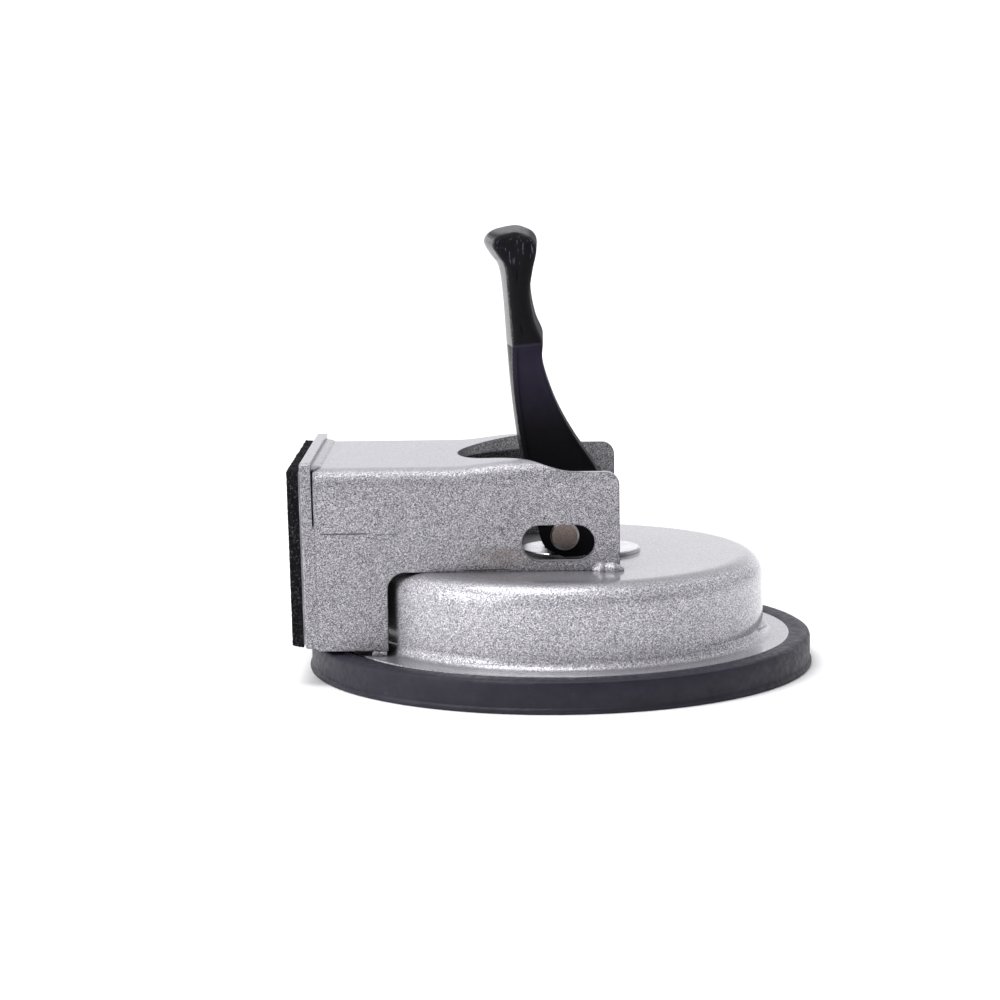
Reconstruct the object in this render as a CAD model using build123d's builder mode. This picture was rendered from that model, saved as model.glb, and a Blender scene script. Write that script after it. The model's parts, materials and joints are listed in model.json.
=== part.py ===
"""Vacuum suction cup with a cam lever, a pressed steel housing and a padded end bracket.

Units are millimetres, +Z is up. The origin lies on the stud's axis, in the plane that the
rubber cup stands on. -X points to the padded end of the bracket, and the lever locks by
swinging down towards +X.
"""
import os
from math import cos, radians, sin, tan

from build123d import *

# ---- driving dimensions -------------------------------------------------------------
# rubber cup
cup_radius = 57.5
cup_shift = -1.2          # the cup sits a little off the stud's axis, towards the bracket
cup_rim_height = 7.2
cup_lip_radius = 57.8
cup_lip_height = 1.2
cup_seat_height = 5.4     # the step that the housing's flange sits on
cup_hollow = 0.6          # the middle of the cup's face stands this far off the ground
cup_land_radius = 46.0    # inner edge of the sealing land

# pressed housing
sheet = 1.5
flange_radius = 52.0
dome_radius = 45.4
dome_top = 25.6
dome_corner = 5.0
flange_corner = 2.5
stud_slot_length = 13.6
stud_slot_width = 9.4

# wear plate under the cam
wear_length = 27.6
wear_width = 20.4
wear_thickness = 1.0
wear_centre_x = 3.6
wear_hole_diameter = 9.4

# U bracket and end plate
channel_width = 53.6
channel_wall = 2.0
channel_top = 48.7        # top plate, from the end plate to rise_start_x
arch_top = 50.0           # top plate beside the notch
rise_start_x = -26.0
rise_end_x = -10.0
channel_corner = 4.0
channel_end_x = 12.1      # free end of the walls
channel_foot = 8.0        # lowest edge of the walls, beside the housing
cutout_x = -39.5          # where the walls are cut back to clear the dome
cutout_corner = 4.0
notch_tip_x = -24.3
notch_radius = 20.0
notch_flank = 37.0        # half angle between the straight sides of the notch, degrees
wall_top = 47.6           # top of the walls beside the lever
wall_corner = 3.0
drop_start_x = -9.5       # the wall's top edge falls smoothly from here...
drop_end_x = 2.5          # ...to here
window_length = 16.1
window_width = 8.0
window_x = -1.5
window_z = 31.9

# end plate and pad, both leaning in a little at the foot
plate_lean = 0.8
plate_face_x = -58.6      # outer face of the plate at plate_top
plate_thickness = 2.5
plate_top = 50.2
plate_foot = 8.4
seam_gap = 0.4            # open seam between the channel's end and the plate
pad_thickness = 2.6
pad_top = 48.7
pad_foot = 8.9
pad_width = 53.0
adhesive_thickness = 0.3
adhesive_margin = 0.6

# stud and its moulded-in disc
stud_diameter = 8.0
stud_foot_diameter = 15.0
stud_foot_height = 1.5
rivet_diameter = 6.0
disc_radius = 32.0
disc_thickness = 2.5
eye_radius = 5.2
eye_thickness = 7.6

# return spring
spring_radius = 10.0
spring_wire = 1.8
spring_turns = 4.5
spring_end_gap = 0.15

# lever, cam and pin
pin_z = 31.5
pin_diameter = 6.5
pin_length = 30.4
fit_gap = 0.02            # between the pin and the lever that holds it
running_gap = 0.05        # between the pin and the stud's eye
cam_width = 29.0          # over the two cam lobes
arm_width = 9.0
lobe_top = 12.0           # height of the lobes' upper end above the pin
grip_width = 32.0
grip_start = 42.6         # height of the grip's lower ledge above the pin
fork_gap = 8.6
fork_radius = 7.0
lever_travel = 85.0       # degrees
stud_lift = 4.0           # rise of the stud over the lever's travel
cam_clearance = 0.1

weld_radius = 1.1
side_weld_top = 36.0      # the seam stays open above this height

# ---- values that follow ---------------------------------------------------------------
half_width = channel_width / 2
inner_half = half_width - channel_wall
wear_top = dome_top + wear_thickness
cam_base = pin_z - wear_top - cam_clearance
cam_rise = stud_lift / radians(lever_travel)   # mm of lift for each radian
disc_top = cup_seat_height + disc_thickness
lean = radians(plate_lean)


def plate_plane(depth):
    """Plane parallel to the end plate, depth mm inside its outer face."""
    inward = Vector(cos(lean), 0, sin(lean))
    origin = Vector(plate_face_x, 0, plate_top) + inward * depth
    return Plane(origin=origin, x_dir=(0, -1, 0), z_dir=-inward)


def along_plate(height):
    """Distance along the leaning plate from its top down to a given height."""
    return (height - plate_top) / cos(lean)


def cam_point(turn):
    """A point of the cam, measured from the pin, that touches the plate after a turn in radians."""
    reach = cam_base + cam_rise * turn
    return (reach * sin(turn) + cam_rise * cos(turn), cam_rise * sin(turn) - reach * cos(turn))


def finish(builder, name):
    """Label a finished piece and write it out."""
    builder.part.label = name
    export_step(builder.part, f"parts/{name}.step")


os.makedirs("parts", exist_ok=True)

# ---- rubber cup: a thick disc with a seat for the flange and a slightly hollow face -----
with BuildPart() as rubber_cup:
    with BuildSketch(Plane.XZ.shift_origin((cup_shift, 0, 0))):
        with BuildLine():
            Polyline(
                (0, cup_hollow),
                (cup_land_radius, cup_hollow),
                (cup_land_radius + 4, 0),
                (cup_lip_radius - 0.4, 0),
                (cup_lip_radius, 0.4),
                (cup_lip_radius, cup_lip_height),
                (cup_radius, cup_lip_height + 0.3),
                (cup_radius, cup_rim_height - 0.6),
                (cup_radius - 0.6, cup_rim_height),
                (flange_radius + 1.6, cup_rim_height),
                (flange_radius + 1.6, cup_seat_height),
                (0, cup_seat_height),
                close=True,
            )
        make_face()
    revolve(axis=Axis((cup_shift, 0, 0), (0, 0, 1)))
finish(rubber_cup, "rubber_cup")

# ---- housing: pressed dome with a flange and a slot that lets the stud through ----------
with BuildPart() as housing:
    with BuildSketch(Plane.XZ):
        with BuildLine():
            FilletPolyline(
                (0, dome_top),
                (dome_radius, dome_top),
                (dome_radius, cup_seat_height + sheet),
                (flange_radius, cup_seat_height + sheet),
                radius=[dome_corner, flange_corner],
            )
            Line((flange_radius, cup_seat_height + sheet), (flange_radius, cup_seat_height))
            FilletPolyline(
                (flange_radius, cup_seat_height),
                (dome_radius - sheet, cup_seat_height),
                (dome_radius - sheet, dome_top - sheet),
                (0, dome_top - sheet),
                radius=[flange_corner + sheet, dome_corner - sheet],
            )
            Line((0, dome_top - sheet), (0, dome_top))
        make_face()
    revolve(axis=Axis.Z)
    with BuildSketch(Plane.XY.offset(dome_top)):
        SlotOverall(stud_slot_length, stud_slot_width)
    extrude(amount=-2 * sheet, mode=Mode.SUBTRACT)
    flange_edges = housing.edges().filter_by(GeomType.CIRCLE).sort_by(SortBy.RADIUS)[-2:]
    fillet(flange_edges, radius=0.5)
finish(housing, "housing")

# ---- wear plate: a thin plated washer that the cam slides on ---------------------------
with BuildPart() as wear_plate:
    with BuildSketch(Plane.XY.offset(dome_top)):
        with Locations((wear_centre_x, 0)):
            SlotOverall(wear_length, wear_width)
        Circle(wear_hole_diameter / 2, mode=Mode.SUBTRACT)
    extrude(amount=wear_thickness)
    chamfer(wear_plate.faces().sort_by(Axis.Z)[-1].outer_wire().edges(), length=0.25)
finish(wear_plate, "wear_plate")

# ---- bracket: a U channel over the housing, notched for the lever ----------------------
with BuildPart() as bracket:
    with BuildSketch(Plane.XZ):
        with BuildLine():
            Line((plate_face_x, channel_foot), (plate_face_x, channel_top))
            Line((plate_face_x, channel_top), (rise_start_x, channel_top))
            Spline(
                (rise_start_x, channel_top),
                (rise_end_x, arch_top),
                tangents=[(1, 0), (1, 0)],
            )
            Line((rise_end_x, arch_top), (channel_end_x, arch_top))
            Line((channel_end_x, arch_top), (channel_end_x, channel_foot))
            Line((channel_end_x, channel_foot), (plate_face_x, channel_foot))
        make_face()
    extrude(amount=half_width, both=True)
    side_edges = bracket.edges().group_by(Axis.Y)
    long_edges = side_edges[0] + side_edges[-1]
    top_edges = long_edges.filter_by(lambda edge: edge.center().Z > channel_top - 0.1)
    fillet(top_edges, radius=channel_corner)
    with BuildSketch(Plane.YZ.offset(plate_face_x - 1)) as channel_hollow:
        with Locations((0, channel_foot - 1)):
            hollow_height = channel_top - channel_wall - channel_foot + 1
            Rectangle(2 * inner_half, hollow_height, align=(Align.CENTER, Align.MIN))
        hollow_corners = channel_hollow.vertices().group_by(Axis.Y)[-1]
        fillet(hollow_corners, radius=channel_corner - channel_wall)
    extrude(amount=channel_end_x - plate_face_x + 2, mode=Mode.SUBTRACT)
    # the end is cut to the slope of the end plate
    split(bisect_by=plate_plane(plate_thickness + seam_gap), keep=Keep.BOTTOM)
    # the walls are cut away where the dome passes under them
    with BuildSketch(Plane.XZ):
        with BuildLine():
            FilletPolyline(
                (cutout_x, channel_foot - 1),
                (cutout_x, dome_top),
                (channel_end_x + 1, dome_top),
                radius=cutout_corner,
            )
            Line((channel_end_x + 1, dome_top), (channel_end_x + 1, channel_foot - 1))
            Line((channel_end_x + 1, channel_foot - 1), (cutout_x, channel_foot - 1))
        make_face()
    extrude(amount=channel_width, both=True, mode=Mode.SUBTRACT)
    # the walls' upper edge drops from the top plate in a smooth double curve
    with BuildSketch(Plane.XZ):
        with BuildLine():
            Spline(
                (drop_start_x, arch_top),
                (drop_end_x, wall_top),
                tangents=[(1, 0), (1, 0)],
            )
            Line((drop_end_x, wall_top), (channel_end_x - wall_corner, wall_top))
            RadiusArc(
                (channel_end_x - wall_corner, wall_top),
                (channel_end_x, wall_top - wall_corner),
                wall_corner,
            )
            Polyline(
                (channel_end_x, wall_top - wall_corner),
                (channel_end_x + 2, wall_top - wall_corner),
                (channel_end_x + 2, arch_top + 2),
                (drop_start_x, arch_top + 2),
                (drop_start_x, arch_top),
            )
        make_face()
    extrude(amount=channel_width, both=True, mode=Mode.SUBTRACT)
    # the notch in the top plate: a round nose with straight flanks
    flank = radians(notch_flank)
    nose_x = notch_tip_x + notch_radius
    tangent_x = nose_x - notch_radius * sin(flank)
    tangent_y = notch_radius * cos(flank)
    flank_end_x = tangent_x + (inner_half - tangent_y) / tan(flank)
    with BuildSketch(Plane.XY.offset(channel_top - channel_corner)):
        with BuildLine():
            ThreePointArc((tangent_x, -tangent_y), (notch_tip_x, 0), (tangent_x, tangent_y))
            Polyline(
                (tangent_x, tangent_y),
                (flank_end_x, inner_half),
                (channel_end_x + 1, inner_half),
                (channel_end_x + 1, -inner_half),
                (flank_end_x, -inner_half),
                (tangent_x, -tangent_y),
            )
        make_face()
    extrude(amount=arch_top - channel_top + channel_corner + 1, mode=Mode.SUBTRACT)
    # a window in each wall, in line with the pin
    with BuildSketch(Plane.XZ):
        with Locations((window_x, window_z)):
            SlotOverall(window_length, window_width)
    extrude(amount=channel_width, both=True, mode=Mode.SUBTRACT)
finish(bracket, "bracket")

# ---- end plate: welded across the end of the channel -----------------------------------
with BuildPart() as end_plate:
    with BuildSketch(plate_plane(plate_thickness)) as plate_outline:
        with Locations((0, along_plate(plate_foot))):
            plate_height = -along_plate(plate_foot)
            Rectangle(channel_width, plate_height, align=(Align.CENTER, Align.MIN))
        fillet(plate_outline.vertices(), radius=1.2)
    extrude(amount=plate_thickness)
    fillet(end_plate.faces().sort_by(Axis.X)[0].edges(), radius=0.6)
finish(end_plate, "end_plate")

# ---- adhesive sheet and foam pad -------------------------------------------------------
with BuildPart() as adhesive_sheet:
    with BuildSketch(plate_plane(0)):
        sheet_foot = along_plate(pad_foot + adhesive_margin)
        sheet_height = along_plate(pad_top - adhesive_margin) - sheet_foot
        sheet_width = pad_width - 2 * adhesive_margin
        with Locations((0, sheet_foot)):
            Rectangle(sheet_width, sheet_height, align=(Align.CENTER, Align.MIN))
    extrude(amount=adhesive_thickness)
finish(adhesive_sheet, "adhesive_sheet")

with BuildPart() as foam_pad:
    with BuildSketch(plate_plane(-adhesive_thickness)):
        pad_height = along_plate(pad_top) - along_plate(pad_foot)
        with Locations((0, along_plate(pad_foot))):
            Rectangle(pad_width, pad_height, align=(Align.CENTER, Align.MIN))
    extrude(amount=pad_thickness)
finish(foam_pad, "foam_pad")

# ---- welds -----------------------------------------------------------------------------
# a bead across the top seam, between the channel and the end plate
with BuildPart() as top_weld:
    seam = plate_plane(plate_thickness).origin
    with BuildSketch(Plane.XZ.shift_origin((seam.X, 0, channel_top))):
        Ellipse(weld_radius * 1.6, weld_radius * 0.8)
    extrude(amount=half_width - channel_corner, both=True)
finish(top_weld, "top_weld")

# a low bead up each side seam of the end plate; above it the seam is open
with BuildPart() as side_welds:
    with BuildSketch(Plane.XY.offset(channel_foot + 0.5)):
        with Locations((seam.X + 0.4, half_width - 0.2), (seam.X + 0.4, 0.2 - half_width)):
            Ellipse(weld_radius, weld_radius * 0.5)
    extrude(amount=side_weld_top - channel_foot - 0.5)
finish(side_welds, "side_welds")

# a fillet weld at the free foot of each wall, and a tack where each wall meets the flange
with BuildPart() as foot_welds:
    for side in (1, -1):
        with BuildSketch(Plane.YZ.offset(channel_end_x - 6.5)):
            with BuildLine():
                toe = side * (half_width + 1.6)
                face = side * half_width
                Polyline(
                    (face, dome_top),
                    (toe, dome_top),
                    (face, dome_top + 1.6),
                    close=True,
                )
            make_face()
        extrude(amount=7.7)
        with BuildSketch(Plane.YZ.offset(cutout_x - 4.6)):
            flange_top = cup_seat_height + sheet + fit_gap
            with Locations((side * (half_width - channel_wall / 2), (flange_top + channel_foot) / 2)):
                Rectangle(channel_wall + 1.0, channel_foot - flange_top)
        extrude(amount=3.2)
finish(foot_welds, "foot_welds")

# ---- stud, with an eye for the pin, and the disc moulded onto the rubber ---------------
with BuildPart() as stud_disc:
    with BuildSketch(Plane.XY.offset(cup_seat_height)):
        Circle(disc_radius)
        Circle(rivet_diameter / 2 + fit_gap, mode=Mode.SUBTRACT)
    extrude(amount=disc_thickness)
    chamfer(stud_disc.faces().sort_by(Axis.Z)[-1].outer_wire().edges(), length=0.8)
finish(stud_disc, "stud_disc")

with BuildPart() as stud:
    with BuildSketch(Plane.XY.offset(cup_seat_height)):
        Circle(rivet_diameter / 2)
    extrude(amount=disc_thickness)
    with BuildSketch(Plane.XY.offset(disc_top)):
        Circle(stud_foot_diameter / 2)
    extrude(amount=stud_foot_height)
    with BuildSketch(Plane.XY.offset(disc_top)):
        Circle(stud_diameter / 2)
    extrude(amount=pin_z - disc_top)
    with BuildSketch(Plane.XZ.shift_origin((0, 0, pin_z))):
        Circle(eye_radius)
    extrude(amount=eye_thickness / 2, both=True)
    with BuildSketch(Plane.XZ.shift_origin((0, 0, pin_z))):
        Circle(pin_diameter / 2 + running_gap)
    extrude(amount=stud_diameter, both=True, mode=Mode.SUBTRACT)
finish(stud, "stud")

# ---- return spring: pushes the disc and the rubber's middle back down ------------------
with BuildPart() as return_spring:
    spring_foot = disc_top + spring_end_gap + spring_wire / 2
    spring_head = dome_top - sheet - spring_end_gap - spring_wire / 2
    spring_height = spring_head - spring_foot
    with BuildLine() as coil:
        Helix(
            pitch=spring_height / spring_turns,
            height=spring_height,
            radius=spring_radius,
            center=(0, 0, spring_foot),
        )
    with BuildSketch(Plane(origin=coil.line @ 0, z_dir=coil.line % 0)):
        Circle(spring_wire / 2)
    sweep(path=coil.line, is_frenet=True)
finish(return_spring, "return_spring")

# ---- cam lever -------------------------------------------------------------------------
# The outline is measured from the pin: x towards +X, y up. The cam stretch lifts the pin
# by cam_rise for each radian, so the stud's rise follows the lever's turn exactly.
cam_steps = 8
lever_turn = radians(lever_travel)
cam_curve = [cam_point(lever_turn * step / cam_steps) for step in range(cam_steps + 1)]
cam_tip = cam_curve[-1]
lock_flat = 7.6
flat_end = (cam_tip[0] + lock_flat * cos(lever_turn), cam_tip[1] + lock_flat * sin(lever_turn))
heel = (-6.2, 2.4)
knob_front = (-5.6, 64.4)
knob_top = (-10.6, 68.6)
knob_back = (-17.7, 65.9)

with BuildPart() as cam_lever:
    lever_plane = Plane.XZ.shift_origin((0, 0, pin_z))
    with BuildSketch(lever_plane) as lever_outline:
        with BuildLine():
            Spline(*cam_curve, tangents=[(1, 0), (cos(lever_turn), sin(lever_turn))])
            Line(cam_tip, flat_end)
            Spline(
                flat_end,
                (6.5, 15.2),
                (2.75, 20.8),
                (-0.45, 26.4),
                (-2.85, 32.0),
                (-4.6, 38.2),
                (-4.5, 43.6),
                (-6.2, 48.2),
                (-7.2, 54.2),
                (-6.6, 59.4),
                knob_front,
                tangents=[(cos(lever_turn), sin(lever_turn)), (0, 1)],
            )
            Spline(knob_front, knob_top, knob_back, tangents=[(0, 1), (0.1, -1)])
            Spline(
                knob_back,
                (-14.4, 60.4),
                (-13.5, 54.4),
                (-12.8, 43.9),
                (-12.0, 32.6),
                (-10.5, 20.0),
                (-8.2, 9.0),
                heel,
                tangents=[(0.1, -1), (0.1, -1)],
            )
            Spline(heel, (-4.6, -2.4), cam_curve[0], tangents=[(0.1, -1), (1, 0)])
        make_face()
    extrude(amount=arm_width / 2, both=True)
    # the cam lobes below the arm are wider than it is
    with BuildSketch(lever_plane):
        add(lever_outline.sketch_local)
        with Locations((0, lobe_top)):
            Rectangle(60, 60, align=(Align.CENTER, Align.MAX), mode=Mode.INTERSECT)
    extrude(amount=cam_width / 2, both=True)
    # so is the grip above the ledge
    with BuildSketch(lever_plane):
        add(lever_outline.sketch_local)
        with Locations((0, grip_start)):
            Rectangle(60, 60, align=(Align.CENTER, Align.MIN), mode=Mode.INTERSECT)
    extrude(amount=grip_width / 2, both=True)
    # the fork that straddles the stud's eye and shank
    with BuildSketch(lever_plane):
        Circle(fork_radius)
        with Locations((-stud_diameter / 2 - 0.5, stud_diameter / 2 + 0.5)):
            Rectangle(30, 30, align=(Align.MIN, Align.MAX))
    extrude(amount=fork_gap / 2, both=True, mode=Mode.SUBTRACT)
    with BuildSketch(lever_plane):
        Circle(pin_diameter / 2 + fit_gap)
    extrude(amount=cam_width, both=True, mode=Mode.SUBTRACT)
finish(cam_lever, "cam_lever")

# ---- pivot pin -------------------------------------------------------------------------
with BuildPart() as pivot_pin:
    with BuildSketch(Plane.XZ.shift_origin((0, 0, pin_z))):
        Circle(pin_diameter / 2)
    extrude(amount=pin_length / 2, both=True)
    chamfer(pivot_pin.edges().filter_by(GeomType.CIRCLE), length=0.4)
finish(pivot_pin, "pivot_pin")
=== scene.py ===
"""Vacuum suction cup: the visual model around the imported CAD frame. Metres, +Z up."""

import json
import math

import bmesh
import bpy
from mathutils import Matrix, Vector, noise


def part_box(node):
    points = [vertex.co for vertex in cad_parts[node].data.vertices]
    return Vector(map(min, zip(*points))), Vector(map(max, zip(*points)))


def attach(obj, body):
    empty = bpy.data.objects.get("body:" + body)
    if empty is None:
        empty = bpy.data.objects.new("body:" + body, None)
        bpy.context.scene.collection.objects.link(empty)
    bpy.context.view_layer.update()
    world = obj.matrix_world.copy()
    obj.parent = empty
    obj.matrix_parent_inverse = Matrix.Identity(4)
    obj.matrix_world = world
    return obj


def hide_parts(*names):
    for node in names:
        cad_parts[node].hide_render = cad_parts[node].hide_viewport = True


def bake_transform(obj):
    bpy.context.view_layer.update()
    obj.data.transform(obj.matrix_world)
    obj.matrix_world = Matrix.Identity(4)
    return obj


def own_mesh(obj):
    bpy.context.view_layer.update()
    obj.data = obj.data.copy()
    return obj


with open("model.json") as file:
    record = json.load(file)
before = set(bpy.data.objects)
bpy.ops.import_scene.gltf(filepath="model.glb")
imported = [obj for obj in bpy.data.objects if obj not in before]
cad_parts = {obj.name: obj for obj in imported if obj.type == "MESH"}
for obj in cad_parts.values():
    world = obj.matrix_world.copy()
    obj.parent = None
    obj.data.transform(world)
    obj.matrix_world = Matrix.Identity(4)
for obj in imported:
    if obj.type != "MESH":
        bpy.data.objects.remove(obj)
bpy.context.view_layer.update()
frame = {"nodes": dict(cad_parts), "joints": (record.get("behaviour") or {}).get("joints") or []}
NODES = frame["nodes"]
MM = 0.001

# ---- places read from the frame ---------------------------------------------------------
joint = {j["name"]: j for j in frame["joints"]}
PIN = Vector(joint["lever_swing"]["pos_m"])
LIFT = joint["stud_lift"]["range_m"][1]
LEVER_TURN = math.radians(joint["lever_swing"]["range_deg"][1])
CUP_LOW, CUP_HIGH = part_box("rubber_cup")
HOUSING_LOW, HOUSING_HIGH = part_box("housing")
BRACKET_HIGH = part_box("bracket")[1]
PLATE_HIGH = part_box("end_plate")[1]
FOAM_LOW, FOAM_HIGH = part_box("foam_pad")
SPRING_LOW, SPRING_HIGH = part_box("return_spring")
SIDES = ((-1, "near"), (1, "far"))    # the two sides along Y, the camera's side first


# ======================================================================== node helpers ==
class Shade:
    """A node material with one Principled shader, and short calls for the nodes it uses."""

    def __init__(self, name, **sockets):
        self.material = bpy.data.materials.new(name)
        self.material.use_nodes = True
        self.nodes = self.material.node_tree.nodes
        self.links = self.material.node_tree.links
        self.shader = self.nodes["Principled BSDF"]
        self.set(**sockets)
        coordinates = self.nodes.new("ShaderNodeTexCoord")
        self.place = coordinates.outputs["Object"]
        self.normal = coordinates.outputs["Normal"]

    def set(self, **sockets):
        for name, value in sockets.items():
            self.shader.inputs[name.replace("_", " ")].default_value = value

    def plug(self, value, socket):
        """Feeds a node's output, or a plain value, into an input socket."""
        if isinstance(value, bpy.types.NodeSocket):
            self.links.new(value, socket)
        else:
            socket.default_value = value

    def into(self, name, value):
        """Feeds one of the shader's own sockets."""
        self.plug(value, self.shader.inputs[name])

    def stretched(self, x, y, z):
        """The place with each axis scaled: a small number draws the pattern out along it."""
        node = self.nodes.new("ShaderNodeMapping")
        self.links.new(self.place, node.inputs["Vector"])
        node.inputs["Scale"].default_value = (x, y, z)
        return node.outputs["Vector"]

    def noise(self, size, detail, rough=0.5, place=None):
        """Noise whose blobs are about size metres across."""
        node = self.nodes.new("ShaderNodeTexNoise")
        self.links.new(place or self.place, node.inputs["Vector"])
        node.inputs["Scale"].default_value = 1 / size
        node.inputs["Detail"].default_value = detail
        node.inputs["Roughness"].default_value = rough
        return node.outputs["Fac"]

    def cells(self, size, output="Color"):
        """Voronoi cells about size metres across: a random colour or a distance for each."""
        node = self.nodes.new("ShaderNodeTexVoronoi")
        self.links.new(self.place, node.inputs["Vector"])
        node.inputs["Scale"].default_value = 1 / size
        return node.outputs[output]

    def ramp(self, value, *stops):
        """A colour ramp; each stop is (position, grey) or (position, (r, g, b))."""
        node = self.nodes.new("ShaderNodeValToRGB")
        self.links.new(value, node.inputs["Fac"])
        elements = node.color_ramp.elements
        while len(elements) < len(stops):
            elements.new(0.5)
        for element, (position, colour) in zip(elements, stops):
            element.position = position
            shade = colour if isinstance(colour, tuple) else (colour,) * 3
            element.color = (*shade, 1.0)
        return node.outputs["Color"]

    def math(self, kind, a, b=0.0):
        node = self.nodes.new("ShaderNodeMath")
        node.operation = kind
        self.plug(a, node.inputs[0])
        self.plug(b, node.inputs[1])
        return node.outputs["Value"]

    def times(self, first, *others):
        """The product of two or more values."""
        for other in others:
            first = self.math("MULTIPLY", first, other)
        return first

    def axis(self, letter, place=None):
        """One coordinate of a place, or one channel of a colour as a plain value."""
        node = self.nodes.new("ShaderNodeSeparateXYZ")
        self.links.new(place or self.place, node.inputs["Vector"])
        return node.outputs[letter]

    def between(self, value, low, high, soft):
        """1 where low < value < high, falling to 0 over soft at each end."""
        rise = self.spread(value, low - soft, low)
        fall = self.spread(value, high + soft, high)
        return self.times(rise, fall)

    def spread(self, value, start, end):
        """0 at start and 1 at end, and held beyond them; start may be the larger."""
        node = self.nodes.new("ShaderNodeMapRange")
        self.links.new(value, node.inputs["Value"])
        node.inputs["From Min"].default_value = start
        node.inputs["From Max"].default_value = end
        return node.outputs["Result"]

    def mix(self, share, a, b, kind="MIX"):
        """Mixes two colours; a colour may be an output or a tuple."""
        node = self.nodes.new("ShaderNodeMix")
        node.data_type = "RGBA"
        node.blend_type = kind
        self.plug(share, node.inputs["Factor"])
        for colour, socket in ((a, node.inputs[6]), (b, node.inputs[7])):
            self.plug((*colour, 1.0) if isinstance(colour, tuple) else colour, socket)
        return node.outputs[2]

    def bump(self, height, distance, strength, under=None):
        """A bumped normal, laid over another bump where under is given."""
        node = self.nodes.new("ShaderNodeBump")
        node.inputs["Strength"].default_value = strength
        node.inputs["Distance"].default_value = distance
        self.links.new(height, node.inputs["Height"])
        if under:
            self.links.new(under, node.inputs["Normal"])
        return node.outputs["Normal"]


# ========================================================================== materials ==
FLAKE = 0.15 * MM                     # size of one flake in the silver paint
SILVER_DARK = (0.060, 0.058, 0.066)
SILVER_MID = (0.400, 0.391, 0.434)
SILVER_LIGHT = (0.98, 0.96, 1.00)
UPWARD_SHEEN_SHARE = 0.85                     # how much of an upward face the painted sheen covers
STAIN = (0.19, 0.15, 0.12)
# colour of the painted shadow in the gap beside the bracket's cut-out
GAP_SHADOW = (0.012, 0.011, 0.013)
EDGE_SHADE = (0.05, 0.05, 0.055)


def sparkle(shade, tone, even):
    """The flaked silver colour, and the random value of each flake.

    tone scales the flakes; even is the grey of the painted sheen on upward faces.
    """
    flake = shade.axis("X", shade.cells(FLAKE))
    colour = shade.ramp(
        flake,
        (0.05, tuple(tone * part for part in SILVER_DARK)),
        (0.38, tuple(tone * part for part in SILVER_MID)),
        (0.60, tuple(tone * part for part in SILVER_MID)),
        (0.92, tuple(tone * part for part in SILVER_LIGHT)),
    )
    broad = shade.ramp(shade.noise(9 * MM, 3.0), (0.3, 0.90), (0.7, 1.0))
    colour = shade.mix(1.0, colour, broad, "MULTIPLY")
    # painted reflection: upward faces get an even pale grey that hides most of the flakes, in place
    # of the bright surround they mirror
    upward = shade.spread(shade.axis("Z", shade.normal), 0.70, 0.95)
    upward_sheen = (even, even * 0.985, even * 1.06)
    return shade.mix(shade.times(upward, UPWARD_SHEEN_SHARE), colour, upward_sheen), flake


def crevice_shade(shade, colour, reach):
    """Darkens a colour where the surface is boxed in by its neighbours: painted shade in crevices.
    """
    node = shade.nodes.new("ShaderNodeAmbientOcclusion")
    node.samples = 8
    node.inputs["Distance"].default_value = reach
    shadow = shade.ramp(node.outputs["AO"], (0.30, 0.03), (0.64, 1.0))
    return shade.mix(1.0, colour, shadow, "MULTIPLY")


def edges(shade, colour, width, share, tint):
    """Tints a narrow line along the piece's edges; here it paints dark shade on the edges."""
    node = shade.nodes.new("ShaderNodeBevel")
    node.samples = 4
    node.inputs["Radius"].default_value = width
    dot = shade.nodes.new("ShaderNodeVectorMath")
    dot.operation = "DOT_PRODUCT"
    shade.links.new(node.outputs["Normal"], dot.inputs[0])
    geometry = shade.nodes.new("ShaderNodeNewGeometry")
    shade.links.new(geometry.outputs["Normal"], dot.inputs[1])
    line = shade.spread(dot.outputs["Value"], 0.985, 0.90)
    return shade.mix(shade.times(line, share), colour, tint)


def silver_paint(name, tone, even, reach, gloss, grain_height, extra=None):
    """Silver flake paint under a clear coat.

    tone and even are as in sparkle, reach is how far the painted crevice shade spreads, gloss is
    the weight of the coat, and extra(shade, colour) adds a piece's own marks and painted shade.
    """
    shade = Shade(name, Metallic=0.30, Coat_Weight=gloss, Coat_Roughness=0.12)
    colour, flake = sparkle(shade, tone, even)
    if extra:
        colour = extra(shade, colour)
    # painted shade in crevices and concave corners
    if reach:
        colour = crevice_shade(shade, colour, reach)
    shade.into("Base Color", colour)
    shade.into("Roughness", shade.ramp(flake, (0.0, 0.60), (1.0, 0.30)))
    grain = shade.bump(shade.noise(FLAKE * 1.4, 2.0), 0.12 * MM, grain_height)
    lumps = shade.bump(shade.noise(2.2 * MM, 2.0), 0.06 * MM, 0.35, grain)
    shade.into("Normal", lumps)
    return shade.material


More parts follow.
